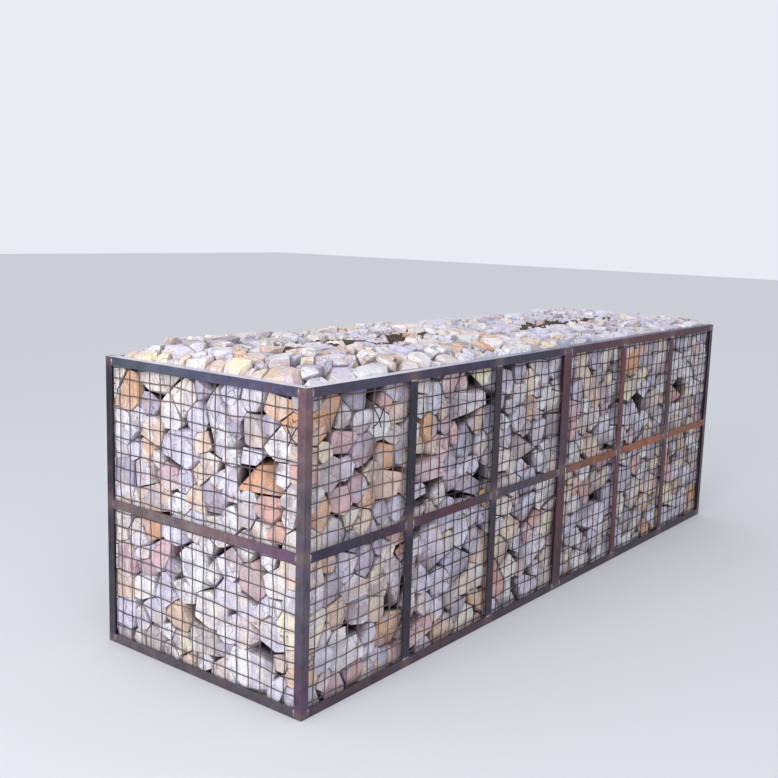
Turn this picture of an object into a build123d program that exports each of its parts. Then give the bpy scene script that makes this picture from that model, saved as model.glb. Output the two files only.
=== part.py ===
"""Gabion wall: two welded steel box frames, back to back, with welded mesh and a stone fill.

Origin at the middle of the footprint, on the ground. X runs along the wall, the front
faces -Y and Z points up. All lengths are in millimetres.
"""
import os

from build123d import *

# The whole wall
wall_length = 3000
wall_width = 890
wall_height = 980
bays_per_frame = 3

# Rolled angle of the box frames
angle_leg = 30
steel = 4
root_radius = 4
toe_radius = 2

# Flat bars between the angles
upright_width = 40
mid_rail_width = 30
mid_rail_height = 485

# Welded mesh behind the frame
wire = 4
mesh_pitch = 50

# Stone fill, heaped above the rim, and the soil in its top
near_heap_rise = 55
far_heap_rise = 30
heap_slope = 65
soil_width = 280
soil_margin = 260
soil_depth = 220
soil_drop = 12

# Where these dimensions put things
frame_length = wall_length / 2
half_width = wall_width / 2
bay = frame_length / bays_per_frame
root_edge = steel + root_radius
mesh_back = steel + 2 * wire
bay_lines = [bay * line for line in range(1, bays_per_frame)]
soil_length = frame_length - 2 * soil_margin
up = Vector(0, 0, 1)

# A frame's name, its two ends along X, its sides counter-clockwise from the front, and its heap
frames = [
    ("near", -frame_length, 0, ("front", "seam", "back", "end"), near_heap_rise),
    ("far", 0, frame_length, ("front", "end", "back", "seam"), far_heap_rise),
]

os.makedirs("parts", exist_ok=True)


def save(part, name):
    part.label = name
    export_step(part, f"parts/{name}.step")


# Section of the rolled angle: a sharp heel at the origin, rounded root and toes
with BuildSketch() as angle_section:
    with BuildLine():
        Polyline(
            (0, 0), (angle_leg, 0), (angle_leg, steel), (steel, steel), (steel, angle_leg), (0, angle_leg),
            close=True,
        )
    make_face()
    by_root = angle_section.vertices().sort_by_distance((steel, steel))
    fillet(by_root[0], root_radius)
    toes = ShapeList(
        angle_section.vertices().sort_by_distance(toe)[0]
        for toe in ((angle_leg, steel), (steel, angle_leg))
    )
    fillet(toes, toe_radius)


def corner_post(name, corner, along):
    """Angle standing in a corner between the flanges of the bottom and top rails."""
    with BuildPart() as post:
        with BuildSketch(Plane(corner + up * steel, x_dir=along, z_dir=up)):
            add(angle_section.sketch)
        extrude(amount=wall_height - 2 * steel)
    save(post.part, name)


def box_rail(name, heel, along, inward, length):
    """Angle along one edge of a frame: flange mitred at both corners, leg butted to the posts."""
    far_heel = heel + along * length
    with BuildPart() as rail:
        with BuildSketch(Plane(heel, x_dir=inward, z_dir=along)):
            add(angle_section.sketch)
        extrude(amount=length)
        split(bisect_by=Plane(heel, z_dir=along - inward), keep=Keep.TOP)
        split(bisect_by=Plane(far_heel, z_dir=-along - inward), keep=Keep.TOP)
        for start in (heel, far_heel - along * angle_leg):
            with BuildSketch(Plane(start, x_dir=inward, z_dir=along)):
                with Locations((0, steel)):
                    Rectangle(angle_leg, angle_leg, align=(Align.MIN, Align.MIN))
            extrude(amount=angle_leg, mode=Mode.SUBTRACT)
    save(rail.part, name)


def mid_rails(name, side, spans):
    """Flat bars at half height, flush with the frame, one in each gap between the uprights."""
    with BuildPart() as bars:
        with BuildSketch(side):
            for left, right in spans:
                with Locations(((left + right) / 2, mid_rail_height)):
                    Rectangle(right - left, mid_rail_width)
        extrude(amount=-steel)
    save(bars.part, name)


def mesh_sheet(length, cross_inset, bottom, top, first_cross):
    """Line wires with cross wires welded behind them, drawn on XY with the frame's back at z = 0."""
    first_line = cross_inset + wire / 2
    line_count = int((length - 2 * first_line) / mesh_pitch) + 1
    line_middle = first_line + (line_count - 1) * mesh_pitch / 2
    cross_count = int((top - wire / 2 - first_cross) / mesh_pitch) + 1
    cross_middle = first_cross + (cross_count - 1) * mesh_pitch / 2
    with BuildPart() as sheet:
        with BuildSketch():
            with Locations((line_middle, (bottom + top) / 2)):
                with GridLocations(mesh_pitch, mesh_pitch, line_count, 1):
                    Rectangle(wire, top - bottom)
        extrude(amount=-wire)
        with BuildSketch(Plane.XY.offset(-wire)):
            with Locations((length / 2, cross_middle)):
                with GridLocations(mesh_pitch, mesh_pitch, 1, cross_count):
                    Rectangle(length - 2 * cross_inset, wire)
        extrude(amount=-wire)
    return sheet.part


# Each long side of a frame takes a lower and an upper sheet that meet behind the mid rails,
# and each end takes one sheet between the long ones. Both kinds clear the rounded roots.
first_cross_long = angle_leg + 2 * wire
rows_below = int((mid_rail_height - first_cross_long) / mesh_pitch) + 1
sheet_top = wall_height - root_edge
long_sheets = {
    "lower": mesh_sheet(frame_length, root_edge, root_edge, mid_rail_height, first_cross_long),
    "upper": mesh_sheet(
        frame_length, root_edge, mid_rail_height, sheet_top, first_cross_long + rows_below * mesh_pitch
    ),
}
end_sheet = mesh_sheet(wall_width, mesh_back, root_edge, sheet_top, root_edge + wire)

for frame, x_start, x_end, side_names, heap_rise in frames:
    corners = [
        Vector(x_start, -half_width),
        Vector(x_end, -half_width),
        Vector(x_end, half_width),
        Vector(x_start, half_width),
    ]
    for number, side_name in enumerate(side_names):
        corner = corners[number]
        next_corner = corners[(number + 1) % 4]
        length = (next_corner - corner).length
        along = (next_corner - corner).normalized()
        inward = up.cross(along)
        side = Plane(corner, x_dir=along, z_dir=-inward)

        # A post stands where this side starts, named after the two sides that meet there
        meeting = {side_names[number - 1], side_name}
        face = "front" if "front" in meeting else "back"
        kind = "seam" if "seam" in meeting else "corner"
        corner_post(f"{frame}_{face}_{kind}_post", corner, along)

        box_rail(f"{frame}_{side_name}_bottom_rail", corner, along, inward, length)
        box_rail(f"{frame}_{side_name}_top_rail", next_corner + up * wall_height, -along, inward, length)

        behind_frame = side.offset(-steel)
        if side_name == "end":
            mid_rails(f"{frame}_end_mid_rail", side, [(angle_leg, length - angle_leg)])
            save(behind_frame * end_sheet, f"{frame}_end_mesh")
        elif side_name != "seam":
            edges = [angle_leg]
            for line in bay_lines:
                edges += [line - upright_width / 2, line + upright_width / 2]
            edges.append(length - angle_leg)
            mid_rails(f"{frame}_{side_name}_mid_rails", side, zip(edges[::2], edges[1::2]))
            for row, sheet in long_sheets.items():
                save(behind_frame * sheet, f"{frame}_{side_name}_mesh_{row}")

# Flat bars standing between the bottom and top rails, at the lines between bays
for side_name, side_y, outward in (("front", -half_width, -1), ("back", half_width, 1)):
    with BuildPart() as uprights:
        with BuildSketch(Plane((0, side_y, wall_height / 2), x_dir=(1, 0, 0), z_dir=(0, outward, 0))):
            with Locations((-frame_length / 2, 0), (frame_length / 2, 0)):
                with GridLocations(bay, bay, bays_per_frame - 1, 1):
                    Rectangle(upright_width, wall_height - 2 * angle_leg)
        extrude(amount=-steel)
    save(uprights.part, f"{side_name}_uprights")

# The stones of each frame as one mass: a block behind the mesh, a foot and a neck that pass
# inside the flanges of the rails, and a heap with sloping sides and a pocket for soil
for frame, x_start, x_end, side_names, heap_rise in frames:
    x_middle = (x_start + x_end) / 2
    seam_side = 1 if x_end == 0 else -1
    block_length = frame_length - mesh_back - steel
    block_middle = x_middle + seam_side * (mesh_back - steel) / 2
    ring_length = frame_length - 2 * angle_leg
    ring_width = wall_width - 2 * angle_leg
    with BuildPart() as fill:
        with BuildSketch():
            with Locations((x_middle, 0)):
                Rectangle(ring_length, ring_width)
        extrude(amount=wall_height)
        with BuildSketch(Plane.XY.offset(root_edge)):
            with Locations((block_middle, 0)):
                Rectangle(block_length, wall_width - 2 * mesh_back)
        extrude(amount=wall_height - 2 * root_edge)
        with BuildSketch(Plane.XY.offset(wall_height)):
            with Locations((x_middle, 0)):
                Rectangle(ring_length, ring_width)
        extrude(amount=heap_rise, taper=heap_slope)
        with BuildSketch(Plane.XY.offset(wall_height + heap_rise)):
            with Locations((x_middle, 0)):
                Rectangle(soil_length, soil_width)
        extrude(amount=-soil_depth, mode=Mode.SUBTRACT)
    save(fill.part, f"{frame}_stone_fill")

# Soil in the pocket of each heap, a little below the stones around it
with BuildPart() as soil:
    for frame, x_start, x_end, side_names, heap_rise in frames:
        with BuildSketch(Plane.XY.offset(wall_height + heap_rise - soil_depth)):
            with Locations(((x_start + x_end) / 2, 0)):
                Rectangle(soil_length, soil_width)
        extrude(amount=soil_depth - soil_drop)
save(soil.part, "soil_beds")
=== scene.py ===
"""Gabion wall: steel box frames with round-wire mesh, quarry stones and soil. Lengths are in metres."""

import collections
import itertools
import math
import random

import bmesh
import bpy
from mathutils import Matrix, Vector


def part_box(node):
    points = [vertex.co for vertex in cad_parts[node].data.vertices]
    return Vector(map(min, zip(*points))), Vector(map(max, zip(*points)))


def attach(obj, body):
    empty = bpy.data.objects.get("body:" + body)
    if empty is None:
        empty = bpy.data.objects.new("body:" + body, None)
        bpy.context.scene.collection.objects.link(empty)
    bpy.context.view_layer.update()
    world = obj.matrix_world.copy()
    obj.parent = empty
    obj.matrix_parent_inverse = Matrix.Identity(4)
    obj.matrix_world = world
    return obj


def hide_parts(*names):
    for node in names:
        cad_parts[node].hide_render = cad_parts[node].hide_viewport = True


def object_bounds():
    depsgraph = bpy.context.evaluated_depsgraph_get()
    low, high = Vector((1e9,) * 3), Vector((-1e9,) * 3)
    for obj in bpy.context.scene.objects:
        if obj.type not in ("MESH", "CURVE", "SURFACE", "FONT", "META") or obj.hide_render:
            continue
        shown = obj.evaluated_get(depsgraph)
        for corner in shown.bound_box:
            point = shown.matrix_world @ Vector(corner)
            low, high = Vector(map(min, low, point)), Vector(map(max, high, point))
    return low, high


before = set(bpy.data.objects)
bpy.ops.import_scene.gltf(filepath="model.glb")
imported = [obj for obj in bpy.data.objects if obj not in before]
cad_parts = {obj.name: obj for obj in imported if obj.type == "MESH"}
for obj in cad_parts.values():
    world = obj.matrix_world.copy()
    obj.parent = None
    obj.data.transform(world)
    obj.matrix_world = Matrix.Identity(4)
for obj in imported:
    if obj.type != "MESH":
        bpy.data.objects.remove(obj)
cad_low, cad_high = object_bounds()
bpy.ops.object.select_all(action="DESELECT")


# Frames. Hot-rolled angle and flat bar, never painted: blue-black mill scale that has gone brown
# and orange where rain stands, with purple heat tint beside the welds. Each run of steel has its
# own colours, because the bars came from different lengths of stock.
def srgb(code):
    """A colour given as six hex digits, as the linear colour that a shader takes."""
    parts = [int(code[place:place + 2], 16) / 255 for place in (0, 2, 4)]
    return [((c + 0.055) / 1.055) ** 2.4 if c > 0.04045 else c / 12.92 for c in parts] + [1]


def grey(level):
    """A grey as the linear colour that a shader takes, such as the strength of a mask."""
    return [level] * 3 + [1]


def add_node(tree, kind, inputs, **settings):
    """A node with its settings, and each input either linked to a socket or given a value."""
    node = tree.nodes.new(kind)
    for key, value in settings.items():
        setattr(node, key, value)
    for socket, value in inputs.items():
        if isinstance(value, bpy.types.NodeSocket):
            tree.links.new(value, node.inputs[socket])
        else:
            node.inputs[socket].default_value = value
    return node


def ramp(tree, factor, stops):
    """A colour ramp with its stops as (place, colour) pairs."""
    node = add_node(tree, "ShaderNodeValToRGB", {"Fac": factor})
    elements = node.color_ramp.elements
    for extra in range(len(stops) - 2):
        elements.new(0.5)
    for element, (place, colour) in zip(elements, stops):
        element.position = place
        element.color = colour
    return node.outputs["Color"]


def even_stops(colours, shift=0.0):
    """Colours spread evenly over a ramp, as its stops."""
    return [((number + 0.5) / len(colours) + shift, srgb(colour)) for number, colour in enumerate(colours)]


def mix(tree, factor, first, second, blend="MIX"):
    """Two colours mixed by a factor, or put together by another blend."""
    node = add_node(tree, "ShaderNodeMix", {"Factor": factor}, data_type="RGBA", blend_type=blend)
    for socket, value in (("A", first), ("B", second)):
        inputs = [slot for slot in node.inputs if slot.name == socket and slot.type == "RGBA"]
        if isinstance(value, bpy.types.NodeSocket):
            tree.links.new(value, inputs[0])
        else:
            inputs[0].default_value = value
    return [slot for slot in node.outputs if slot.type == "RGBA"][0]


def noise(tree, place, scale, detail=4.0, roughness=0.6, distortion=0.0):
    """A cloudy pattern between 0 and 1."""
    inputs = {"Vector": place, "Scale": scale, "Detail": detail, "Roughness": roughness,
              "Distortion": distortion}
    return add_node(tree, "ShaderNodeTexNoise", inputs).outputs["Fac"]


def calculate(tree, operation, *values):
    """One step of arithmetic on numbers or sockets."""
    return add_node(tree, "ShaderNodeMath", dict(enumerate(values)), operation=operation).outputs[0]


def rising(tree, value, low, high, top=1.0):
    """A number that rises from 0 to its top while a value goes from low to high."""
    inputs = {"Value": value, "From Min": low, "From Max": high, "To Max": top}
    return add_node(tree, "ShaderNodeMapRange", inputs).outputs["Result"]


def add_bump(tree, shader, height, strength, depth):
    """Roughens a surface by a pattern, over any bump that it already has."""
    bump = add_node(tree, "ShaderNodeBump", {"Height": height, "Strength": strength, "Distance": depth})
    normal = shader.inputs["Normal"]
    if normal.is_linked:
        tree.links.new(normal.links[0].from_socket, bump.inputs["Normal"])
    tree.links.new(bump.outputs["Normal"], normal)


def new_material(name):
    """An empty node material: its tree, the object's own coordinates and the surface shader."""
    material = bpy.data.materials.new(name)
    material.use_nodes = True
    tree = material.node_tree
    shader = tree.nodes["Principled BSDF"]
    place = tree.nodes.new("ShaderNodeTexCoord").outputs["Object"]
    return material, tree, place, shader


def mill_steel(name, axis, weld_axis, colours, rim_sheen_colours=None):
    """Raw steel whose scale changes along one axis, tinted by heat at each weld, with a painted highlight
    on top of the rim.
    """
    material, tree, place, shader = new_material(name)
    apart = add_node(tree, "ShaderNodeSeparateXYZ", {"Vector": place})
    along = rising(tree, apart.outputs[axis], *runs[axis])
    spot = calculate(tree, "MULTIPLY_ADD", noise(tree, place, 7.0, 3.0), wander, along)
    scale_colour = ramp(tree, spot, even_stops(colours, wander / 2))
    cloudy = ramp(tree, noise(tree, place, 16.0, 5.0, 0.7), [(0.3, srgb("9c98a0")), (0.72, grey(1))])
    scale_colour = mix(tree, 1.0, scale_colour, cloudy, "MULTIPLY")
    from_start = calculate(tree, "SUBTRACT", apart.outputs[weld_axis], runs[weld_axis][0])
    from_weld = calculate(tree, "PINGPONG", from_start, weld_pitches[weld_axis] / 2)
    ragged = calculate(tree, "MULTIPLY_ADD", noise(tree, place, 30.0, 3.0), 0.03, from_weld)
    tint = ramp(tree, ragged, [
        (0.030, srgb("6e5c58")), (0.045, srgb("5c3c58")), (0.065, srgb("3c3c60")),
    ])
    near_weld = ramp(tree, ragged, [(0.035, grey(0.6)), (0.080, grey(0))])
    scale_colour = mix(tree, near_weld, scale_colour, tint)
    rust_mask = ramp(tree, noise(tree, place, 38.0, 8.0, 0.72, 0.4), [(0.53, grey(0)), (0.735, grey(1))])
    rust_colour = ramp(tree, noise(tree, place, 90.0, 4.0), [(0.35, srgb("4a2a20")), (0.7, srgb("93583a"))])
    colour = mix(tree, rust_mask, scale_colour, rust_colour)
    # The top of the rim is painted near white, a painted highlight of the sky on the flange
    if rim_sheen_colours:
        sheen_mask = rising(tree, apart.outputs["Z"], rim - sheen_end_depth, rim - sheen_full_depth)
        painted_sheen = ramp(tree, along, even_stops(rim_sheen_colours))
        painted_sheen = mix(tree, 0.4, painted_sheen, cloudy, "MULTIPLY")
        colour = mix(tree, sheen_mask, colour, painted_sheen)
    tree.links.new(colour, shader.inputs["Base Color"])
    rough = ramp(tree, rust_mask, [(0.0, grey(0.42)), (1.0, grey(0.82))])
    tree.links.new(rough, shader.inputs["Roughness"])
    shader.inputs["Metallic"].default_value = 0.3
    add_bump(tree, shader, noise(tree, place, 260.0, 6.0, 0.7), strength=0.35, depth=0.0012)
    return material


# Where the colours of the steel start and end along each axis, how far they wander from their
# place, and how far apart the welds are
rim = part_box("near_front_top_rail")[1].z
runs = {"X": (cad_low.x, cad_high.x), "Y": (cad_low.y, cad_high.y), "Z": (0.0, rim)}
wander = 0.22
weld_pitches = {"X": cad_high.x / 3, "Y": cad_high.y - cad_low.y, "Z": rim / 2}
# The painted highlight on top of the rim is full down to one depth and gone at the other
sheen_full_depth = 0.0004
sheen_end_depth = 0.0012
# Each run of steel: the axis that its colours follow, the axis that its welds lie along, its
# colours from the low end to the high one, and the colours of the painted highlight on top of its rim
steel_looks = {
    "front_mid_rails": ("X", "X", ["38344c", "5c3040", "464a5c", "9a5a3c", "b8683e", "9a5436"]),
    "back_mid_rails": ("X", "X", ["5a4038", "3d3a4c", "6e4636", "454a5c"]),
    "end_mid_rail": ("Y", "Y", ["785a74", "8c7476", "84787a", "806f6c"]),
    "front_top_rail": ("X", "X", ["4c4c64", "3a3856", "32304c", "58303c", "682e38", "4a2a34"],
                       ["f0eef6", "c4c4d6", "9296ae", "7c8098", "6c6078", "60566a"]),
    "back_top_rail": ("X", "X", ["444658", "34323f", "443a44"], ["d0d0dc", "9494a6", "7a7688"]),
    "end_top_rail": ("Y", "Y", ["605a7a", "5a607a", "5e6879"], ["e4e2ee", "d0d2e0", "e8e2ec"]),
    "seam_top_rail": ("Y", "Y", ["6a6f80", "5c6074", "3c4254"], ["b8bcd0", "989cb0"]),
    "front_bottom_rail": ("X", "X", ["54424e", "4a3c4e", "41364a"]),
    "back_bottom_rail": ("X", "X", ["4c4450", "55443f"]),
    "end_bottom_rail": ("Y", "Y", ["5c5660", "665f66"]),
    "seam_bottom_rail": ("Y", "Y", ["4c4450", "4a4650"]),
    "near_front_corner_post": ("Z", "Z", ["5c4660", "5c5a68", "62606c", "6e6068", "86686c"]),
    "near_back_corner_post": ("Z", "Z", ["3a3c48", "34303c", "2c2a36"]),
    "far_front_corner_post": ("Z", "Z", ["3c2830", "2e242e", "342a36"]),
    "far_back_corner_post": ("Z", "Z", ["3e3440", "4a3a38"]),
    "seam_post": ("Z", "Z", ["4a3038", "5e3038", "4a3044", "602e3a"]),
    "uprights": ("X", "Z", ["2a283a", "252536", "382838", "6a303a", "6e343a", "3c282e"]),
}
for node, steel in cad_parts.items():
    family = [look for look in steel_looks if node.endswith(look)]
    if family:
        look = max(family, key=len)
        material = bpy.data.materials.get(look) or mill_steel(look, *steel_looks[look])
        steel.data.materials.clear()
        steel.data.materials.append(material)


# Welded mesh. Sheets of drawn wire, line wires upright and cross wires welded behind them, cut to
# fit inside the angles. The wire was never dead straight and the stones have pushed it about.
wire_radius = 0.002
mesh_pitch = 0.05
wire_sides = 6
# The cross wires have melted this far into the line wires, and each wire can bend at every step
melted_depth = 0.0004
bend_step = 0.03
# Height of the lowest cross wire of each kind of sheet
first_rows = {"lower": 0.038, "upper": 0.488, "end": 0.012}
# Along the wall the wire is painted lighter up to one place and painted darker from the other, as painted
# shade on the far bays
wire_shade_start = cad_low.x + 0.25
wire_shade_full = cad_low.x + 0.95


def round_wire(start, moves):
    """A round wire drawn out from its start by one move after another."""
    turn = moves[0].to_track_quat("Z", "Y").to_euler()
    bpy.ops.mesh.primitive_circle_add(vertices=wire_sides, radius=wire_radius, fill_type="NGON",
                                      location=start, rotation=turn)
    wire = bpy.context.object
    bpy.ops.object.transform_apply()
    bpy.ops.object.mode_set(mode="EDIT")
    bpy.ops.mesh.select_all(action="SELECT")
    for move in moves:
        bpy.ops.mesh.extrude_region_move(TRANSFORM_OT_translate={"value": move})
    bpy.ops.mesh.select_all(action="SELECT")
    bpy.ops.mesh.normals_make_consistent(inside=False)
    bpy.ops.object.mode_set(mode="OBJECT")
    return wire


def repeat(piece, count, offset):
    """Copies of a piece in a row, by an array that is applied."""
    row = piece.modifiers.new("row", "ARRAY")
    row.count = count
    row.use_relative_offset = False
    row.use_constant_offset = True
    row.constant_offset_displace = offset
    bpy.context.view_layer.objects.active = piece
    bpy.ops.object.modifier_apply(modifier=row.name)


def join_pieces(pieces, name):
    """One object from several, with its origin at the frame's origin."""
    bpy.ops.object.select_all(action="DESELECT")
    for piece in pieces:
        piece.select_set(True)
    bpy.context.view_layer.objects.active = pieces[0]
    if len(pieces) > 1:
        bpy.ops.object.join()
    joined = bpy.context.object
    bpy.ops.object.transform_apply()
    joined.name = name
    joined.data.name = name
    return joined


def push_about(piece, direction, strength, size, middle):
    """Moves a piece's surface by a soft cloud pattern, along one axis."""
    clouds = bpy.data.textures.new(f"{piece.name}_{direction}", "CLOUDS")
    clouds.noise_scale = size
    clouds.noise_depth = 1
    push = piece.modifiers.new("push", "DISPLACE")
    push.texture = clouds
    push.texture_coords = "LOCAL"
    push.direction = direction
    push.strength = strength
    push.mid_level = middle
    bpy.context.view_layer.objects.active = piece
    bpy.ops.object.modifier_apply(modifier=push.name)


def drawn_wire(name, stops, shade_further_on=0.0):
    """Bare drawn wire, dull and scratched, whose tone moves up the ramp into darker colours away from the
    first end, as painted shade.
    """
    material, tree, place, shader = new_material(name)
    apart = add_node(tree, "ShaderNodeSeparateXYZ", {"Vector": place})
    along = rising(tree, apart.outputs["X"], wire_shade_start, wire_shade_full, shade_further_on)
    spot = calculate(tree, "ADD", noise(tree, place, 9.0, 5.0, 0.7), along)
    tree.links.new(ramp(tree, spot, stops), shader.inputs["Base Color"])
    shader.inputs["Metallic"].default_value = 0.4
    shader.inputs["Roughness"].default_value = 0.55
    add_bump(tree, shader, noise(tree, place, 400.0, 4.0, 0.7), strength=0.3, depth=0.0005)
    return material


# The darker stops at the top of the ramp are reached only further along the wall, as painted shade
mesh_look = drawn_wire("drawn_wire", [
    (0.30, srgb("48444c")), (0.52, srgb("665c62")), (0.66, srgb("82665a")), (0.74, srgb("2e2a32")),
    (0.90, srgb("35303a")), (1.00, srgb("483a3a")),
], shade_further_on=0.4)

for node in sorted(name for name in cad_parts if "mesh" in name):
    low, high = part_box(node)
    size = high - low
    at_end = "end_mesh" in node
    if at_end:
        along = Vector((0, 1, 0))
        outward = Vector((math.copysign(1, low.x), 0, 0))
    else:
        along = Vector((1, 0, 0))
        outward = Vector((0, math.copysign(1, low.y), 0))
    # Each sheet was cut from the roll starting at one of its edges, where the first line wire stands
    first_low = node.startswith("far") if at_end else "front" in node
    step = along * (mesh_pitch if first_low else -mesh_pitch)
    length = size.dot(along)
    outer = max(low.dot(outward), high.dot(outward)) - wire_radius
    inner = outer - 2 * wire_radius + melted_depth
    edge = (low.dot(along) + wire_radius) if first_low else (high.dot(along) - wire_radius)
    line_count = int((length - 2 * wire_radius) / mesh_pitch) + 1
    line_steps = round(size.z / bend_step)
    line = round_wire(outward * outer + along * edge + Vector((0, 0, low.z)),
                      [Vector((0, 0, size.z / line_steps))] * line_steps)
    repeat(line, line_count, step)
    first_row = first_rows["end" if at_end else node.rsplit("_", 1)[1]]
    row_count = int((high.z - wire_radius - first_row) / mesh_pitch) + 1
    cross_steps = round(length / bend_step)
    cross = round_wire(outward * inner + along * low.dot(along) + Vector((0, 0, first_row)),
                       [along * (length / cross_steps)] * cross_steps)
    repeat(cross, row_count, (0, 0, mesh_pitch))
    sheet = join_pieces([line, cross], f"{node}_wires")
    push_about(sheet, "Y" if at_end else "X", strength=0.011, size=0.10, middle=0.5)
    push_about(sheet, "Z", strength=0.014, size=0.12, middle=0.5)
    inwards = -outward.dot(Vector((1, 1, 0)))
    push_about(sheet, "X" if at_end else "Y", strength=0.002 * inwards, size=0.16, middle=0.15)
    bpy.ops.object.shade_smooth_by_angle(angle=math.radians(70))
    sheet.data.materials.clear()
    sheet.data.materials.append(mesh_look)
    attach(sheet, "root")
    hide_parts(node)


# Welds. A short rippled bead across each joint of the frames, run with a stick electrode and left
# as it cooled: mid rails to uprights and posts, upright ends, and the legs and mitres at the corners.
bead_length = 0.024
bead_width = 0.0075
bead_height = 0.0048
bead_sunk = 0.0006
short_bead = 0.022
long_bead = 0.034
bpy.ops.mesh.primitive_uv_sphere_add(segments=8, ring_count=14, radius=0.5, rotation=(0, math.pi / 2, 0))
bead = bpy.context.object
bpy.ops.object.transform_apply()
bead.scale = (bead_length, bead_width, bead_height)
bpy.ops.object.transform_apply()
# Every second ring of the bead is drawn in, and the rings between them stand out as its ripples
rings = sorted({round(vertex.co.x, 5) for vertex in bead.data.vertices})
bpy.ops.object.mode_set(mode="EDIT")
bpy.ops.mesh.select_all(action="DESELECT")
bpy.ops.object.mode_set(mode="OBJECT")
for vertex in bead.data.vertices:
    vertex.select = round(vertex.co.x, 5) in rings[2:-1:2]
bpy.ops.object.mode_set(mode="EDIT")
bpy.ops.transform.resize(value=(1, 0.72, 0.72))
bpy.ops.object.mode_set(mode="OBJECT")

leg = 0.030
steel_thickness = 0.004
half_upright = 0.020
mid_low, mid_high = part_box("near_front_mid_rails")
mid_height = (mid_low.z + mid_high.z) / 2
wall_end = cad_high.x
wall_side = cad_high.y
upright_lines = [sign * line * wall_end / 3 for sign in (-1, 1) for line in (1, 2)]
corner_lines = [sign * line for sign in (-1, 1) for line in (leg, wall_end - leg)]
edge_lines = [line + edge for line in upright_lines for edge in (-half_upright, half_upright)]
low_weld = (leg + steel_thickness) / 2
high_weld = rim - low_weld
upwards = Vector((0, 0, 1))
bead_runs = []
for side in (-1, 1):
    outward = Vector((0, side, 0))
    face = outward * wall_side
    for x in corner_lines + edge_lines:
        bead_runs.append((face + Vector((x, 0, mid_height)), upwards, outward, bead_length))
    for x, z in itertools.product(corner_lines, (low_weld, high_weld)):
        bead_runs.append((face + Vector((x, 0, z)), upwards, outward, short_bead))
    for x, z in itertools.product(upright_lines, (leg, rim - leg)):
        bead_runs.append((face + Vector((x, 0, z)), Vector((1, 0, 0)), outward, long_bead))
    for end_side in (-1, 1):
        outward = Vector((end_side, 0, 0))
        for z in (low_weld, mid_height, high_weld):
            spot = Vector((end_side * wall_end, side * (wall_side - leg), z))
            bead_runs.append((spot, upwards, outward, short_bead))
        for corner_x, inward in ((wall_end, -1), (0, 1)):
            spot_x = end_side * (corner_x + inward * leg / 2)
            spot = Vector((spot_x, side * (wall_side - leg / 2), rim - bead_sunk))
            mitre = Vector((end_side * inward, -side, 0)).normalized()
            bead_runs.append((spot, mitre, upwards, long_bead))
beads = []
for spot, run, outward, length in bead_runs:
    copy = bead.copy()
    copy.data = bead.data.copy()
    bpy.context.scene.collection.objects.link(copy)
    turn = Matrix((run, outward.cross(run), outward)).transposed().to_4x4()
    size = Matrix.Diagonal((length / bead_length, 1, 1, 1))
    copy.data.transform(Matrix.Translation(spot) @ turn @ size)
    beads.append(copy)
bpy.data.objects.remove(bead)
welds = join_pieces(beads, "weld_beads")
bpy.ops.object.shade_smooth_by_angle(angle=math.radians(50))
weld_look, tree, place, shader = new_material("weld_bead")
temper = ramp(tree, noise(tree, place, 45.0, 4.0),
              [(0.3, srgb("54525e")), (0.5, srgb("8a848a")), (0.65, srgb("b4acac")), (0.8, srgb("74584a"))])
tree.links.new(temper, shader.inputs["Base Color"])
shader.inputs["Metallic"].default_value = 0.5
shader.inputs["Roughness"].default_value = 0.32
add_bump(tree, shader, noise(tree, place, 300.0, 4.0), strength=0.4, depth=0.0006)
welds.data.materials.append(weld_look)
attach(welds, "root")


# Tie wires. Short ends of black annealed binding wire, left crossed over the mesh where a stone
# was held back while the frames were filled.
tie_sunk = 0.0025
# The walls of the near frame, each with its first corner, its way along, its way out and its length
Side = collections.namedtuple("Side", "corner along outward length")
front = Side(Vector((-wall_end, -wall_side, 0)), Vector((1, 0, 0)), Vector((0, -1, 0)), wall_end)
back = Side(Vector((-wall_end, wall_side, 0)), Vector((1, 0, 0)), Vector((0, 1, 0)), wall_end)
end = Side(Vector((-wall_end, -wall_side, 0)), Vector((0, 1, 0)), Vector((-1, 0, 0)), 2 * wall_side)
# Each tie as its wall, its place along the wall and its height
ties = [(end, 0.055, 0.835), (front, 0.330, 0.850)]
# Each strand as four places from the middle of its tie: along the wall, up and out
strands = [
    [(-0.030, 0.044, -0.006), (-0.014, 0.022, -0.0015), (0.002, -0.002, -0.001), (0.018, -0.030, -0.006)],
    [(0.028, 0.030, -0.006), (0.013, 0.012, -0.0015), (-0.004, -0.008, 0.0015), (-0.026, -0.026, -0.005)],
    [(-0.030, 0.044, -0.006), (-0.020, 0.050, -0.001), (-0.006, 0.040, -0.001), (0.004, 0.048, -0.006)],
]


def on_wall(side, along_by, height, sunk):
    """A place on a wall, this far behind its face."""
    return side.corner + side.along * along_by - side.outward * sunk + Vector((0, 0, height))


tie_pieces = []
for side, along_by, height in ties:
    middle = on_wall(side, along_by, height, tie_sunk)
    for strand in strands:
        points = [middle + side.along * by + upwards * up + side.outward * out for by, up, out in strand]
        moves = [after - before for before, after in zip(points, points[1:])]
        tie_pieces.append(round_wire(points[0], moves))
tie_wires = join_pieces(tie_pieces, "tie_wires")
bpy.ops.object.shade_smooth_by_angle(angle=math.radians(70))
binding_look = drawn_wire("binding_wire", [(0.35, srgb("2a262c")), (0.7, srgb("483c3e"))])
tie_wires.data.materials.append(binding_look)
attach(tie_wires, "root")


# Stones. Broken quarry stone, packed by hand with a flat side against the mesh, from fist size to
# a forearm long. Each is cut from a block by the planes where it meets its neighbours and by a few
# breaks of its own, which leave the black gaps. Only the outer layer of the fill is made.
rng = random.Random(41)
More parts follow.
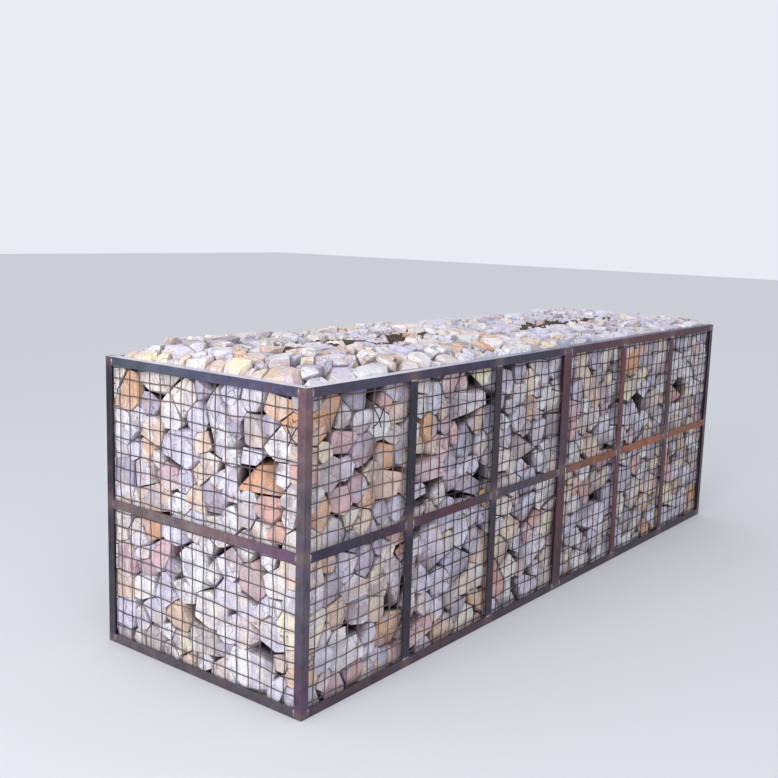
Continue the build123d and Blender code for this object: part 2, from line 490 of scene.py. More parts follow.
# How far the stones keep behind the faces of the wall, below its rim, above the ground, away from
# the seam and inside the flanges of the rails
stone_inset = 0.0145
rim_clear = rim - 0.010
ground_clear = 0.010
seam_clear = 0.006
flange = 0.032
# The soil keeps this far away from the ends of each frame
soil_gap = 0.25
soil_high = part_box("soil_beds")[1]
# The heap rises from its foot over a shoulder, and once more to a mound near the first end
heap_foot = rim + 0.006
shoulder = 0.14
near_rise = 0.030
far_rise = 0.016
mound_rise = 0.014
mound_place = -1.2
mound_reach = 0.3
# The stones of the heap reach this far down inside the rim
heap_depth = 0.09
# How many radii a stone is across once its neighbours have cut it
radii_across = 1.75


def inside_rim(x, y):
    """How far a place lies inside the flanges of the top rails of its frame."""
    return min(wall_end - flange - abs(x), wall_side - flange - abs(y), abs(x) - flange)


def heap_height(x, y):
    """The lie of the heap at a place: near the rim all round, highest towards the first end."""
    share = min(max(inside_rim(x, y), 0) / shoulder, 1)
    mound = mound_rise * math.exp(-((x - mound_place) / mound_reach) ** 2)
    peak = (near_rise if x < 0 else far_rise) + mound
    return heap_foot + peak * math.sin(share * math.pi / 2)


def off_soil(x, y):
    """How far a place lies outside the soil beds, which are cut short of the rim stones."""
    return max(abs(y) - soil_high.y, soil_gap - abs(x), abs(x) - (wall_end - soil_gap))


sides = [front, back, end]
# Each stone has one seed or two, and a grid of cells tells which seeds are near a place
stones = []
seeds = []
cell_size = 0.3
cells = {}

# Each colour's place in the range of the stones
tone_of = {
    "white": 0.02, "lilac": 0.16, "grey": 0.30, "olive": 0.46, "cream": 0.58, "straw": 0.61, "tan": 0.70,
    "orange": 0.82, "pink": 0.96,
}
# Its share among the stones of an end, of a long side and of the heap on each frame
end_mixture = {
    "white": 31, "lilac": 24, "grey": 6, "olive": 5, "cream": 18, "tan": 7, "orange": 3, "pink": 6,
}
long_mixture = {
    "white": 15, "lilac": 25, "grey": 15, "olive": 8, "cream": 13, "tan": 9, "orange": 3, "pink": 12,
}
near_mixture = {"white": 32, "lilac": 18, "grey": 3, "olive": 3, "cream": 32, "tan": 9, "orange": 3}
far_mixture = {"white": 40, "lilac": 38, "grey": 7, "olive": 1, "cream": 7, "tan": 3, "pink": 4}


def cell_of(spot):
    """The cell of the search grid that a spot lies in."""
    return tuple(math.floor(part / cell_size) for part in spot)


def seeds_near(spot):
    """The numbers of all seeds in a spot's cell and in the cells round it."""
    cell = cell_of(spot)
    for step in itertools.product((-1, 0, 1), repeat=3):
        yield from cells.get(tuple(part + way for part, way in zip(cell, step)), ())


def add_stone(spots, radius, mixture, heap=False, tone=None, top=None):
    """Books the room for a stone: one spot for a blunt stone, two for a long one."""
    own = range(len(seeds), len(seeds) + len(spots))
    stones.append({
        "seeds": own, "radius": radius, "mixture": mixture, "heap": heap, "tone": tone, "top": top,
    })
    for spot in spots:
        cells.setdefault(cell_of(spot), []).append(len(seeds))
        seeds.append((spot, radius))


def spots_of(stone):
    """The spots that a stone was booked for."""
    return [seeds[own][0] for own in stone["seeds"]]


def add_heap_stone(spots, radius, top):
    """Books the room for a stone of the heap, in the colours of its own frame."""
    mixture = near_mixture if spots[0].x < 0 else far_mixture
    add_stone(spots, radius, mixture, heap=True, top=top)


def room_for(spots, radius, closeness):
    """Whether a stone has room, when two stones may stand this share of their radii apart."""
    for spot in spots:
        for number in seeds_near(spot):
            other, other_radius = seeds[number]
            reach = closeness * (radius + other_radius)
            if (other - spot).length_squared < reach * reach:
                return False
    return True


def any_direction():
    """A random direction of random length."""
    return Vector([rng.gauss(0, 1) for axis in range(3)])


def askew(amount):
    """A random lean of up to this much along each axis."""
    return Vector([rng.uniform(-1, 1) for axis in range(3)]) * amount


# Stones that stand out: wall, place along it, height, width, length upwards, colour
marked_stones = [
    (end, 0.81, 0.86, 0.10, 0.14, "orange"), (end, 0.37, 0.82, 0.15, 0.23, "white"),
    (end, 0.23, 0.82, 0.13, 0.10, "olive"), (end, 0.11, 0.80, 0.10, 0.13, "white"),
    (end, 0.12, 0.91, 0.11, 0.05, "orange"), (end, 0.55, 0.72, 0.19, 0.12, "lilac"),
    (end, 0.67, 0.53, 0.16, 0.09, "tan"), (end, 0.40, 0.59, 0.11, 0.12, "grey"),
    (end, 0.68, 0.76, 0.10, 0.12, "tan"), (end, 0.54, 0.89, 0.10, 0.11, "cream"),
    (end, 0.48, 0.35, 0.14, 0.13, "white"), (end, 0.62, 0.24, 0.10, 0.13, "lilac"),
    (end, 0.65, 0.35, 0.11, 0.09, "pink"), (end, 0.23, 0.36, 0.13, 0.11, "pink"),
    (end, 0.40, 0.22, 0.13, 0.11, "cream"), (end, 0.14, 0.22, 0.11, 0.11, "lilac"),
    (end, 0.24, 0.09, 0.17, 0.10, "white"), (end, 0.43, 0.11, 0.14, 0.08, "olive"),
    (front, 0.12, 0.89, 0.10, 0.10, "orange"), (front, 0.19, 0.80, 0.09, 0.06, "pink"),
    (front, 0.40, 0.72, 0.12, 0.09, "orange"), (front, 0.40, 0.63, 0.13, 0.09, "tan"),
    (front, 0.09, 0.60, 0.07, 0.10, "orange"), (front, 0.36, 0.83, 0.11, 0.10, "white"),
    (front, 0.62, 0.78, 0.09, 0.09, "orange"), (front, 0.89, 0.55, 0.20, 0.10, "grey"),
]
for side, along_by, height, width, rise, colour in marked_stones:
    radius = min(width, rise) / radii_across
    sunk = stone_inset + 0.8 * radius
    if rise > width:
        spread = Vector((0, 0, rise - width)) / 2
    else:
        spread = side.along * (width - rise) / 2
    middle = on_wall(side, along_by, min(height, rim_clear - 0.6 * radius), sunk)
    far_apart = spread.length > 0.3 * radius
    spots = [middle - spread, middle + spread] if far_apart else [middle]
    add_stone(spots, radius, None, tone=tone_of[colour])

# Columns of stones in the corners and beside the seam
for side, by_seam in itertools.product((front, back), (False, True)):
    height = 0.0
    while height < rim_clear - 0.03:
        radius = min(rng.uniform(0.034, 0.072), (rim_clear - height) / 1.7)
        sunk = stone_inset + 0.62 * radius
        along_by = wall_end - 0.7 * radius if by_seam else sunk
        spot = on_wall(side, along_by, height + 0.9 * radius, sunk)
        fits = room_for([spot], radius, closeness=0.55)
        if fits:
            add_stone([spot], radius, long_mixture)
        height += 1.45 * radius if fits else 0.012

# The rest of the walls, from the largest stones to the smallest: least and greatest radius, and
# how many are tried. Every second attempt is at a long stone, which lies along the wall or stands.
wall_sizes = [(0.075, 0.095, 7), (0.056, 0.074, 50), (0.042, 0.056, 160), (0.024, 0.040, 290)]
wall_attempts = 60
for smallest, largest, count in wall_sizes:
    for n in range(count):
        radius = rng.uniform(smallest, largest)
        for attempt in range(wall_attempts):
            side = rng.choices(sides, [wall.length for wall in sides])[0]
            sunk = stone_inset + radius * rng.uniform(0.75, 0.95)
            spot = on_wall(side, rng.uniform(sunk, side.length - 0.4 * radius),
                           rng.uniform(0.5 * radius, rim_clear - 0.8 * radius), sunk)
            lie = rng.gauss(0, 0.4) + (math.pi / 2 if rng.random() < 0.3 else 0)
            reach = side.along * math.cos(lie) + Vector((0, 0, math.sin(lie)))
            spots = [spot, spot + reach * radius * rng.uniform(0.9, 1.5)] if attempt % 2 else [spot]
            tip = spots[-1]
            in_height = 0.4 * radius < tip.z < rim_clear - 0.6 * radius
            in_length = -wall_end + 0.9 * sunk < tip.x < -0.3 * radius
            in_width = abs(tip.y) < wall_side - 0.9 * sunk
            if in_height and in_length and in_width and room_for(spots, radius, closeness=0.78):
                add_stone(spots, radius, end_mixture if side is end else long_mixture)
                break

# Slabs and boulders that stand out on the heap: place, length, width, heading in degrees, top
# above the rim, colour
marked_slabs = [
    (-1.435, 0.31, 0.11, 0.055, 100, 0.022, "straw"), (-1.40, 0.19, 0.13, 0.075, 60, 0.040, "lilac"),
    (-1.27, 0.24, 0.08, 0.070, 20, 0.062, "cream"), (-1.44, 0.05, 0.10, 0.06, 95, 0.030, "white"),
    (-1.435, -0.11, 0.09, 0.07, 90, 0.034, "straw"), (-1.42, -0.28, 0.15, 0.09, 70, 0.024, "tan"),
    (-1.30, -0.37, 0.15, 0.07, 5, 0.020, "cream"), (-1.29, -0.26, 0.12, 0.07, 30, 0.036, "cream"),
    (-1.13, -0.37, 0.13, 0.07, 0, 0.018, "white"), (-1.12, -0.28, 0.11, 0.07, 20, 0.034, "tan"),
    (-0.97, -0.37, 0.12, 0.06, 0, 0.016, "cream"), (-1.24, 0.10, 0.09, 0.07, 50, 0.046, "white"),
]
for x, y, length, width, heading, top, colour in marked_slabs:
    radius = width / radii_across
    way = Vector((math.cos(math.radians(heading)), math.sin(math.radians(heading)), 0))
    middle = Vector((x, y, rim + top - 0.55 * radius))
    spread = way * (length - width) / 2
    spots = [middle - spread, middle + spread] if length > 1.25 * width else [middle]
    add_stone(spots, radius, None, heap=True, tone=tone_of[colour], top=rim + top)

# A row of flat stones along the inside of the rim, all round both frames
for sign in (-1, 1):
    reach_x = wall_end - flange
    reach_y = wall_side - flange
    away = Vector((sign, 0, 0))
    across = Vector((0, 1, 0))
    rows = [
        (Vector((sign * flange, -reach_y, 0)), away, across, reach_x - flange),
        (Vector((sign * flange, reach_y, 0)), away, -across, reach_x - flange),
        (Vector((sign * flange, -reach_y, 0)), across, away, 2 * reach_y),
        (Vector((sign * reach_x, -reach_y, 0)), across, -away, 2 * reach_y),
    ]
    for start, way, inward, length in rows:
        gone = 0.004
        while gone < length - 0.02:
            radius = rng.uniform(0.022, 0.042)
            longer = rng.uniform(0.0, 1.6) * radius
            top = rim + rng.uniform(0.002, 0.018) + 0.15 * radius
            spot = start + way * (gone + 0.8 * radius) + inward * radius * rng.uniform(0.70, 0.95)
            spot.z = top - 0.5 * radius
            spots = [spot, spot + way * longer] if longer > 0.6 * radius else [spot]
            if gone + longer + radius < length and room_for(spots, radius, closeness=0.52):
                add_heap_stone(spots, radius, top)
                gone += longer
            gone += 1.6 * radius

# The rest of the heap, again from the largest stones to the smallest
heap_sizes = [(0.044, 0.060, 50), (0.032, 0.044, 160), (0.018, 0.030, 380)]
heap_attempts = 50
for smallest, largest, count in heap_sizes:
    for n in range(count):
        radius = rng.uniform(smallest, largest)
        for attempt in range(heap_attempts):
            x = rng.uniform(-wall_end, wall_end)
            y = rng.uniform(-wall_side, wall_side)
            top = heap_height(x, y) + rng.uniform(-0.008, 0.014)
            spot = Vector((x, y, top - 0.5 * radius))
            lie = rng.uniform(0, math.pi)
            reach = Vector((math.cos(lie), math.sin(lie), 0)) * radius * rng.uniform(0.8, 1.5)
            spots = [spot, spot + reach] if attempt % 2 else [spot]
            rim_room = min(inside_rim(place.x, place.y) for place in spots)
            soil_room = min(off_soil(place.x, place.y) for place in spots)
            clear = rim_room > 0.7 * radius and soil_room > 0.1 * radius
            if clear and room_for(spots, radius, closeness=0.68):
                add_heap_stone(spots, radius, top)
                break

# A few stones that have rolled on to the soil, where there is room for them
rolled_count = 64
for n in range(rolled_count):
    radius = rng.uniform(0.014, 0.030)
    x = rng.choice((-1, 1)) * rng.uniform(soil_gap, wall_end - soil_gap)
    y = soil_high.y * math.copysign(rng.random() ** 0.5, rng.random() - 0.5)
    top = heap_height(x, y) + rng.uniform(-0.012, 0.006)
    spot = Vector((x, y, top - 0.5 * radius))
    if room_for([spot], radius, closeness=0.75):
        add_heap_stone([spot], radius, top)

joint_planes = {}


def joint(own, other):
    """The plane where two stones would meet: nearer the smaller, and a little askew."""
    key = (min(own, other), max(own, other))
    if key not in joint_planes:
        (first, first_radius), (second, second_radius) = seeds[key[0]], seeds[key[1]]
        gap = second - first
        share = 0.5 + (first_radius ** 2 - second_radius ** 2) / (2 * gap.length_squared)
        share = min(max(share, 0.25), 0.75)
        joint_planes[key] = (first + gap * share, (gap.normalized() + askew(0.10)).normalized())
    point, normal = joint_planes[key]
    return point, normal if own == key[0] else -normal


def cut(point, normal):
    """Cuts away what lies past a plane, if the stone reaches that far."""
    limit = point.dot(normal)
    block = bmesh.from_edit_mesh(bpy.context.edit_object.data)
    if max(vertex.co.dot(normal) for vertex in block.verts) > limit:
        bpy.ops.mesh.select_all(action="SELECT")
        bpy.ops.mesh.bisect(plane_co=point, plane_no=normal, use_fill=True, clear_outer=True)


def chip(spots, direction, depth):
    """Breaks a stone across, this far past whichever of its spots lies furthest that way."""
    furthest = max(spots, key=direction.dot)
    cut(furthest + direction * depth, direction)


def chip_round(spots, radius, outward, count, leans, depths):
    """Breaks at random round the way out, each leaning from it by an angle within the range."""
    for n in range(count):
        lateral = any_direction()
        lateral = (lateral - outward * lateral.dot(outward)).normalized()
        lean = rng.uniform(*leans)
        direction = outward * math.cos(lean) + lateral * math.sin(lean)
        chip(spots, direction, radius * rng.uniform(*depths))


def cut_from_neighbours(stone, spots):
    """Cuts a stone along its joints with the stones round it, the nearest first."""
    radius = stone["radius"]
    around = {other for spot in spots for other in seeds_near(spot)}.difference(stone["seeds"])
    for other in sorted(around, key=lambda other: min((seeds[other][0] - spot).length for spot in spots)):
        place, other_radius = seeds[other]
        own = min(stone["seeds"], key=lambda index: (seeds[index][0] - place).length_squared)
        near = seeds[own][0]
        if (place - near).length < 1.6 * (radius + other_radius):
            point, normal = joint(own, other)
            if (point - near).dot(normal) < 2.1 * radius:
                cut(point - normal * rng.uniform(0.0008, 0.0034), normal)


def shape_heap_stone(stone, spots, middle):
    """Lays the top of a stone along the heap and keeps the stone inside the flanges of the rim."""
    step = 0.02
    x, y = middle.x, middle.y
    slope = Vector((heap_height(x - step, y) - heap_height(x + step, y),
                    heap_height(x, y - step) - heap_height(x, y + step), 2 * step)).normalized()
    tilt = Vector((rng.uniform(-1, 1), rng.uniform(-1, 1), 0)) * 0.24
    cut(Vector((x, y, stone["top"])), (slope + tilt).normalized())
    cut(Vector((x, y, stone["top"] + 0.006)), upwards)
    for sign in (1, -1):
        end_edge = Vector((sign * (wall_end - flange), 0, rim))
        cut(end_edge, Vector((sign, 0, rng.uniform(0, 0.5))).normalized())
        side_edge = Vector((0, sign * (wall_side - flange), rim))
        cut(side_edge, Vector((0, sign, rng.uniform(0, 0.5))).normalized())
    cut(Vector((math.copysign(flange, x), 0, 0)), Vector((-math.copysign(1, x), 0, 0)))
    cut(Vector((0, 0, rim - heap_depth)), -upwards)
    chip_round(spots, stone["radius"], upwards, count=4, leans=(0.6, 1.5), depths=(0.80, 1.05))


def shape_wall_stone(stone, spots, middle):
    """Sets a flat side of a stone behind the mesh, or two at a corner, and keeps it in its frame."""
    radius = stone["radius"]
    faces = []
    for side in sides:
        depth = (side.corner - middle).dot(side.outward)
        if depth < stone_inset + 2.4 * radius:
            cut(side.corner - side.outward * stone_inset, side.outward)
        if depth < stone_inset + 1.2 * radius:
            faces.append((side.outward, depth))
    single = len(faces) == 1
    for outward, depth in faces:
        tilt = askew(0.22 if single else 0.1)
        back_by = rng.uniform(0.001, 0.007) + (0.06 * radius if single else 0)
        cut(middle + outward * (depth - stone_inset - back_by), (outward + tilt).normalized())
        if single:
            chip_round(spots, radius, outward, count=2, leans=(0.35, 0.9), depths=(0.97, 1.18))
            chip_round(spots, radius, outward, count=3, leans=(1.35, 1.75), depths=(0.82, 1.10))
    cut(Vector((0, 0, rim_clear)), upwards)
    cut(Vector((0, 0, ground_clear)), -upwards)
    cut(Vector((-seam_clear, 0, 0)), Vector((1, 0, 0)))


def make_stone(number):
    """One stone, cut from a block that is well larger than it ends up."""
    stone = stones[number]
    spots = spots_of(stone)
    middle = sum(spots, Vector()) / len(spots)
    block_size = 2.7 * stone["radius"] + 1.6 * (spots[-1] - spots[0]).length
    turn = [rng.uniform(0, math.pi) for axis in range(3)]
    bpy.ops.mesh.primitive_cube_add(size=block_size, location=middle, rotation=turn)
    block = bpy.context.object
    bpy.ops.object.transform_apply()
    bpy.ops.object.mode_set(mode="EDIT")
    cut_from_neighbours(stone, spots)
    if stone["heap"]:
        shape_heap_stone(stone, spots, middle)
    else:
        shape_wall_stone(stone, spots, middle)
    bpy.ops.mesh.select_all(action="SELECT")
    bpy.ops.mesh.remove_doubles(threshold=0.006)
    bpy.ops.mesh.quads_convert_to_tris()
    bpy.ops.mesh.subdivide(number_cuts=2, fractal=0.55, fractal_along_normal=0.8, seed=number)
    bpy.ops.mesh.normals_make_consistent(inside=False)
    bpy.ops.object.mode_set(mode="OBJECT")
    return block


def shifted(tree, place, way, amount):
    """A place moved some way, by an amount."""
    move = add_node(tree, "ShaderNodeVectorMath", {0: way, "Scale": amount}, operation="SCALE")
    moved = add_node(tree, "ShaderNodeVectorMath", {0: place, 1: move.outputs[0]}, operation="ADD")
    return moved.outputs[0]


# Each stone has its tone, a place in the range of colours, and its shade, which gives it its own
# stretch of every pattern
stone_look, tree, frame_place, shader = new_material("quarry_stone")
tone = add_node(tree, "ShaderNodeAttribute", {}, attribute_name="tone").outputs["Fac"]
shade = add_node(tree, "ShaderNodeAttribute", {}, attribute_name="shade").outputs["Fac"]
place = shifted(tree, frame_place, (31.0, 17.0, 23.0), shade)
body = ramp(tree, tone, [
    (0.00, srgb("f3f2f5")), (0.08, srgb("edecf4")), (0.16, srgb("e3e0f2")), (0.24, srgb("d3cfe3")),
    (0.31, srgb("bdb8cb")), (0.39, srgb("b0aab6")), (0.46, srgb("cac4c4")), (0.52, srgb("eae3e0")),
    (0.58, srgb("f6efe8")), (0.61, srgb("f5ebcc")), (0.64, srgb("f2e3d6")), (0.70, srgb("e8d1c0")),
    (0.77, srgb("e8c5ae")), (0.84, srgb("e8b58e")), (0.90, srgb("dfaa96")), (0.96, srgb("e4c4ca")),
    (1.00, srgb("ccb0ba")),
])
second = ramp(tree, shade, [
    (0.0, srgb("f1ecea")), (0.25, srgb("e6cec0")), (0.5, srgb("d2cfe6")), (0.75, srgb("b8a6a4")),
    (1.0, srgb("f3f3f6")),
])
patches = ramp(tree, noise(tree, place, 12.0, 6.0, 0.62, 0.8), [(0.50, grey(0)), (0.56, grey(0.8))])
body = mix(tree, patches, body, second)
stain = ramp(tree, noise(tree, place, 9.0, 7.0, 0.7, 1.4), [(0.60, grey(0)), (0.68, grey(0.5))])
body = mix(tree, stain, body, srgb("dcae8c"))
veins = ramp(tree, noise(tree, place, 20.0, 9.0, 0.72, 2.4),
             [(0.455, grey(1)), (0.49, srgb("8a8086")), (0.52, grey(1))])
body = mix(tree, 0.4, body, veins, "MULTIPLY")
swirl = add_node(tree, "ShaderNodeTexNoise", {"Vector": place, "Scale": 14.0, "Detail": 3.0})
warped = shifted(tree, place, swirl.outputs["Color"], 0.06)
split = add_node(tree, "ShaderNodeTexVoronoi", {"Vector": warped, "Scale": 15.0},
                 feature="DISTANCE_TO_EDGE")
cracks = ramp(tree, split.outputs["Distance"],
              [(0.0, srgb("84787e")), (0.016, srgb("e2dce0")), (0.04, grey(1))])
cracked = ramp(tree, noise(tree, place, 7.0, 2.0), [(0.48, grey(0)), (0.54, grey(0.9))])
body = mix(tree, cracked, body, mix(tree, 1.0, body, cracks, "MULTIPLY"))
grain = ramp(tree, noise(tree, place, 170.0, 6.0, 0.8), [(0.32, srgb("beb6ba")), (0.55, grey(1))])
body = mix(tree, 0.4, body, grain, "MULTIPLY")
# Faces deep in the fill are painted darker, as painted shade in the gaps between the stones, which
# begins a little nearer the mesh on the long sides
# Depth is taken from each pair of faces and from just above the rim, and the least counts
shade_top = rim + 0.012
shade_sooner_side = 1.22
apart = add_node(tree, "ShaderNodeSeparateXYZ", {"Vector": frame_place})
depths = []
for axis, reach, operation, sooner in (
    ("X", wall_end, "ABSOLUTE", 1.0),
    ("Y", wall_side, "ABSOLUTE", shade_sooner_side),
    ("Z", shade_top, "ADD", 1.0),
):
    outward_by = calculate(tree, operation, apart.outputs[axis], 0.0)
    inside = calculate(tree, "SUBTRACT", reach, outward_by)
    depths.append(calculate(tree, "MULTIPLY", inside, sooner))
depth = calculate(tree, "MINIMUM", depths[0], depths[1])
depth = calculate(tree, "MINIMUM", depth, depths[2])
# Painted shade: the faces go darker the deeper they lie in the fill
depth_shade = ramp(tree, depth, [(0.027, grey(1)), (0.048, srgb("b4abad")), (0.085, srgb("3c3638"))])
body = mix(tree, 1.0, body, depth_shade, "MULTIPLY")
tree.links.new(body, shader.inputs["Base Color"])
shader.inputs["Roughness"].default_value = 0.85
add_bump(tree, shader, noise(tree, place, 55.0, 9.0, 0.72, 0.5), strength=0.9, depth=0.008)
add_bump(tree, shader, noise(tree, place, 320.0, 6.0, 0.7), strength=0.5, depth=0.0012)


def dress_stones(piece, faces_each, own_stones, keep_marked=True):
    """Gives each stone of a piece its own place in the colour range and its own pattern."""
    tones = []
    for stone in own_stones:
        if stone["tone"] is not None and keep_marked:
            tones.append(stone["tone"])
        else:
            mixture = stone["mixture"] or long_mixture
            colour = rng.choices(list(mixture), list(mixture.values()))[0]
            tones.append(tone_of[colour] + rng.uniform(-0.05, 0.05))
    for label, values in (("tone", tones), ("shade", [rng.random() for stone in own_stones])):
        spread = [value for value, faces in zip(values, faces_each) for face in range(faces)]
        layer = piece.data.attributes.get(label) or piece.data.attributes.new(label, "FLOAT", "FACE")
        layer.data.foreach_set("value", spread)
    if not piece.data.materials:
        piece.data.materials.append(stone_look)
    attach(piece, "root")


# Where two faces of a stone meet at more than this angle, the edge between them stays sharp
stone_edge = math.radians(17)
# Corners that were roughened outwards are set back: behind the mesh, inside the flanges of the
# rim, below the rim and above the ground
mesh_back = 0.0125
rim_inside = flange - 0.0015
below_rim = rim - 0.0045
above_ground = 0.001
# Every so many stones of the heap, one is also a master for the chips on the soil
master_every = 40
chip_masters = []


def make_stones(numbers, name):
    """The stones that these numbers name, as one piece."""
    blocks = [make_stone(number) for number in numbers]
    if "heap" in name:
        for block in blocks[::master_every]:
            master = block.data.copy()
            middle = sum((vertex.co for vertex in master.vertices), Vector()) / len(master.vertices)
            master.transform(Matrix.Translation(-middle))
            chip_masters.append(master)
    faces_each = [len(block.data.polygons) for block in blocks]
    joined = join_pieces(blocks, name)
    edge, top = (rim_inside, math.inf) if "heap" in name else (mesh_back, below_rim)
    for vertex in joined.data.vertices:
        vertex.co.x = max(min(vertex.co.x, wall_end - edge), edge - wall_end)
        vertex.co.y = max(min(vertex.co.y, wall_side - edge), edge - wall_side)
        vertex.co.z = max(min(vertex.co.z, top), above_ground)
    bpy.ops.object.shade_smooth_by_angle(angle=stone_edge)
    dress_stones(joined, faces_each, [stones[number] for number in numbers])
    return joined, faces_each


def turned_about(piece, name):
    """A copy of a piece of the near frame for the far one, turned half round."""
    turned = piece.copy()
    turned.data = piece.data.copy()
    turned.name = turned.data.name = name
    bpy.context.scene.collection.objects.link(turned)
    turned.data.transform(Matrix.Rotation(math.pi, 4, "Z"))
    return turned


# The far frame was filled the same way, and its walls are those of the near frame turned about
wall_numbers = [number for number, stone in enumerate(stones) if not stone["heap"]]
near_walls, faces_each = make_stones(wall_numbers, "near_wall_stones")
far_walls = turned_about(near_walls, "far_wall_stones")
dress_stones(far_walls, faces_each, [stones[number] for number in wall_numbers], keep_marked=False)
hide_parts("near_stone_fill")
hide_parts("far_stone_fill")
for frame_name, sign in (("near", -1), ("far", 1)):
    here = [number for number, stone in enumerate(stones)
            if stone["heap"] and spots_of(stone)[0].x * sign > 0]
    make_stones(here, f"{frame_name}_heap_stones")


# Heart of the fill. The rest of the same stone behind the outer layer, coloured near black as painted
# shade: one lumpy mass a frame, with a column in each outer corner, that closes the view through the gaps.
heart_depth = 0.12
corner_depth = 0.045
corner_width = 0.10
seam_gap = 0.02
heart_height = rim - 0.12
heart_middle = rim / 2 - 0.02
heart_shade_look, tree, place, shader = new_material("painted_shade_heart")
# Its near-black colour is painted shade
dark = ramp(tree, noise(tree, place, 12.0, 5.0), [(0.3, srgb("0c0b0c")), (0.7, srgb("1e1a19"))])
tree.links.new(dark, shader.inputs["Base Color"])
shader.inputs["Roughness"].default_value = 1.0
for frame_name, sign in (("near", -1), ("far", 1)):
    core_x = sign * (wall_end - heart_depth) / 2
    core_length = wall_end - heart_depth - 2 * seam_gap
    # Each lump as its place, its length and width, and how often it is divided
    lumps = [(core_x, 0, core_length, 2 * (wall_side - heart_depth), 15)]
    for side in (-1, 1):
        corner_x = sign * (wall_end - corner_depth - corner_width / 2)
        corner_y = side * (wall_side - corner_depth - corner_width / 2)
        lumps.append((corner_x, corner_y, corner_width, corner_width, 7))
    pieces = []
    for x, y, length, width, cuts in lumps:
        bpy.ops.mesh.primitive_cube_add(size=1, location=(x, y, heart_middle),
                                        scale=(length, width, heart_height))
        pieces.append(bpy.context.object)
        bpy.ops.object.transform_apply()
        bpy.ops.object.mode_set(mode="EDIT")
        bpy.ops.mesh.subdivide(number_cuts=cuts)
        bpy.ops.object.mode_set(mode="OBJECT")
    heart = join_pieces(pieces, f"{frame_name}_heart")
    push_about(heart, "NORMAL", strength=0.04, size=0.07, middle=0.6)
    heart.data.materials.append(heart_shade_look)
    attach(heart, "root")


# Soil beds. Loose dark soil along the top of each frame, crumbly and uneven, with stone
# chips lying on it and the heap's own stones round its edge.
soil_look, tree, place, shader = new_material("dark_soil")
earth = ramp(tree, noise(tree, place, 70.0, 8.0, 0.75),
             [(0.3, srgb("241b15")), (0.5, srgb("453628")), (0.62, srgb("6a5644")), (0.75, srgb("978470"))])
tree.links.new(earth, shader.inputs["Base Color"])
shader.inputs["Roughness"].default_value = 0.95
add_bump(tree, shader, noise(tree, place, 110.0, 8.0, 0.75), strength=1.0, depth=0.006)
soil_thickness = 0.06
soil_sunk = 0.014
soil_beds = []
for sign in (-1, 1):
    bed_top = heap_height(sign * wall_end / 2, 0) - soil_sunk
    bpy.ops.mesh.primitive_grid_add(x_subdivisions=130, y_subdivisions=36, size=1,
                                    location=(sign * wall_end / 2, 0, bed_top - soil_thickness))
    bed = bpy.context.object
    bed.scale = (wall_end - 2 * soil_gap, 2 * soil_high.y, 1)
    bpy.ops.object.transform_apply()
    soil_beds.append(bed)
    bpy.ops.object.mode_set(mode="EDIT")
    bpy.ops.mesh.select_all(action="SELECT")
    bpy.ops.mesh.extrude_region_move(TRANSFORM_OT_translate={"value": (0, 0, soil_thickness)})
    bpy.ops.mesh.select_all(action="SELECT")
    bpy.ops.mesh.normals_make_consistent(inside=False)
    bpy.ops.object.mode_set(mode="OBJECT")
soil_bed = join_pieces(soil_beds, "dark_soil")
push_about(soil_bed, "Z", strength=0.026, size=0.06, middle=0.5)
push_about(soil_bed, "NORMAL", strength=0.012, size=0.012, middle=0.5)
bpy.ops.object.shade_smooth_by_angle(angle=math.radians(60))
soil_bed.data.materials.append(soil_look)
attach(soil_bed, "root")
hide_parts("soil_beds")

# The chips are small copies of the heap's own stones, turned and strewn at random, and all in
# one mixture of colours
chip_count = 150
chips = []
for n in range(chip_count):
    master = rng.choice(chip_masters)
    x = rng.choice((-1, 1)) * rng.uniform(soil_gap + 0.02, wall_end - soil_gap - 0.02)
    y = rng.uniform(-soil_high.y, soil_high.y)
    size = rng.uniform(0.12, 0.34)
    turn = any_direction().to_track_quat("Z", "Y").to_matrix().to_4x4()
    chip_stone = bpy.data.objects.new(f"chip_{n}", master.copy())
    bpy.context.scene.collection.objects.link(chip_stone)
    spot = Matrix.Translation((x, y, heap_height(x, y) - soil_sunk))
    chip_stone.data.transform(spot @ turn @ Matrix.Scale(size, 4))
    chips.append(chip_stone)
faces_each = [len(chip_stone.data.polygons) for chip_stone in chips]
soil_chips = join_pieces(chips, "soil_chips")
bpy.ops.object.shade_smooth_by_angle(angle=stone_edge)
dress_stones(soil_chips, faces_each, [stones[-1]] * len(faces_each))


# Pinning stones. Small stones wedged into the widest gaps of an end, so that the large ones
# round them can't work loose: the place along the end, the height and the radius of each.
pins = [(0.315, 0.672, 0.034), (0.245, 0.617, 0.032), (0.299, 0.877, 0.030)]
pin_numbers = range(len(stones), len(stones) + len(pins))
for along_by, height, radius in pins:
    spot = on_wall(end, along_by, height, stone_inset + 0.9 * radius)
    add_stone([spot], radius, end_mixture)
near_pins, faces_each = make_stones(pin_numbers, "near_pinning_stones")
far_pins = turned_about(near_pins, "far_pinning_stones")
dress_stones(far_pins, faces_each, [stones[number] for number in pin_numbers])


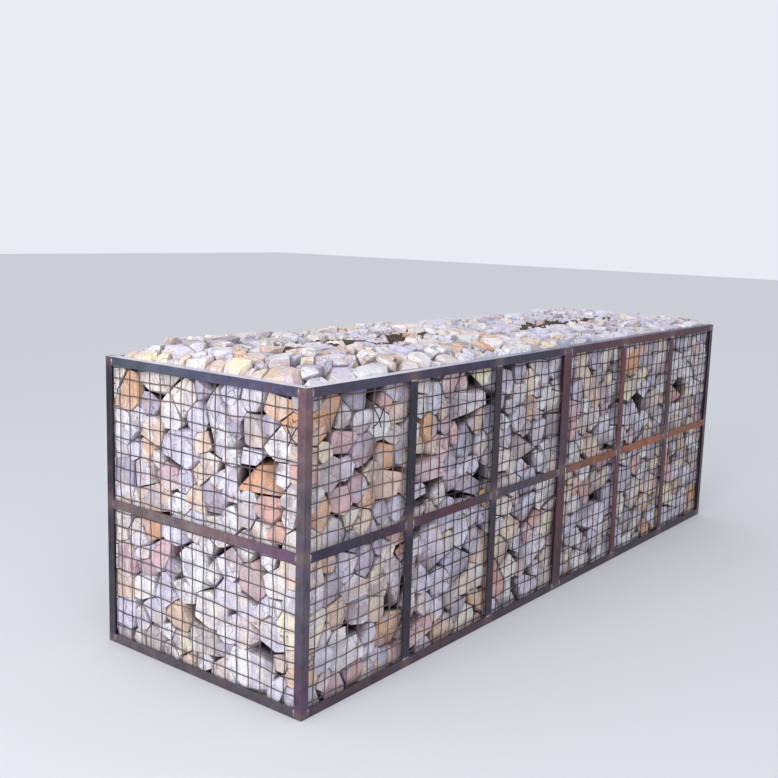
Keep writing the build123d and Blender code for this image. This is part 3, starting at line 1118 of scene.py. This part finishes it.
# Stage. A pale floor, daylight from an even sky, a soft light from the left of the camera and
# a weaker one from its right.
bpy.ops.mesh.primitive_plane_add(size=60, location=(0, 0, -0.001))
floor = bpy.context.object
floor.name = "floor"
floor_look, tree, place, shader = new_material("floor")
shader.inputs["Base Color"].default_value = srgb("dadbde")
shader.inputs["Roughness"].default_value = 0.9
floor.data.materials.append(floor_look)

world = bpy.data.worlds.new("sky")
bpy.context.scene.world = world
world.use_nodes = True
world.node_tree.nodes["Background"].inputs["Color"].default_value = (0.91, 0.935, 1.0, 1)
world.node_tree.nodes["Background"].inputs["Strength"].default_value = 0.90

# Each lamp is a soft box with a grid, so that its light falls on the wall and less on the floor
lamp_spread = math.radians(84)
lamp_gain = 1 / (1 - (lamp_spread / 2) / math.tan(lamp_spread / 2))
lamps = [
    ("daylight", (-6.7, -0.9, 2.7), (-1.3, 0, 1.1), 350),
    ("fill", (-3.6, -4.4, 2.4), (-0.6, -0.4, 1.1), 86),
]
for lamp_name, location, target, energy in lamps:
    bpy.ops.object.light_add(type="AREA", location=location)
    lamp = bpy.context.object
    lamp.name = lamp_name
    lamp.data.shape = "DISK"
    lamp.data.size = 4.0
    lamp.data.spread = lamp_spread
    lamp.data.energy = energy / lamp_gain
    lamp.data.color = (1.0, 0.99, 1.0)
    lamp.rotation_euler = (Vector(target) - lamp.location).to_track_quat("-Z", "Y").to_euler()

# Camera, at the viewing angle of the photo
camera = bpy.data.objects.new("camera", bpy.data.cameras.new("camera"))
bpy.context.scene.collection.objects.link(camera)
eye = Vector((-3.572, -2.344, 1.435))
gaze = Vector((0.7795, 0.6062, -0.1588)).normalized()
roll = math.radians(1.695)
level = gaze.cross(Vector((0, 0, 1))).normalized()
upward = level.cross(gaze)
right = math.cos(roll) * level + math.sin(roll) * upward
top = -math.sin(roll) * level + math.cos(roll) * upward
camera.matrix_world = Matrix.Translation(eye) @ Matrix((right, top, -gaze)).transposed().to_4x4()
camera.data.sensor_width = 36
camera.data.lens = 47.78
bpy.context.scene.camera = camera
bpy.context.scene.view_settings.view_transform = "Standard"
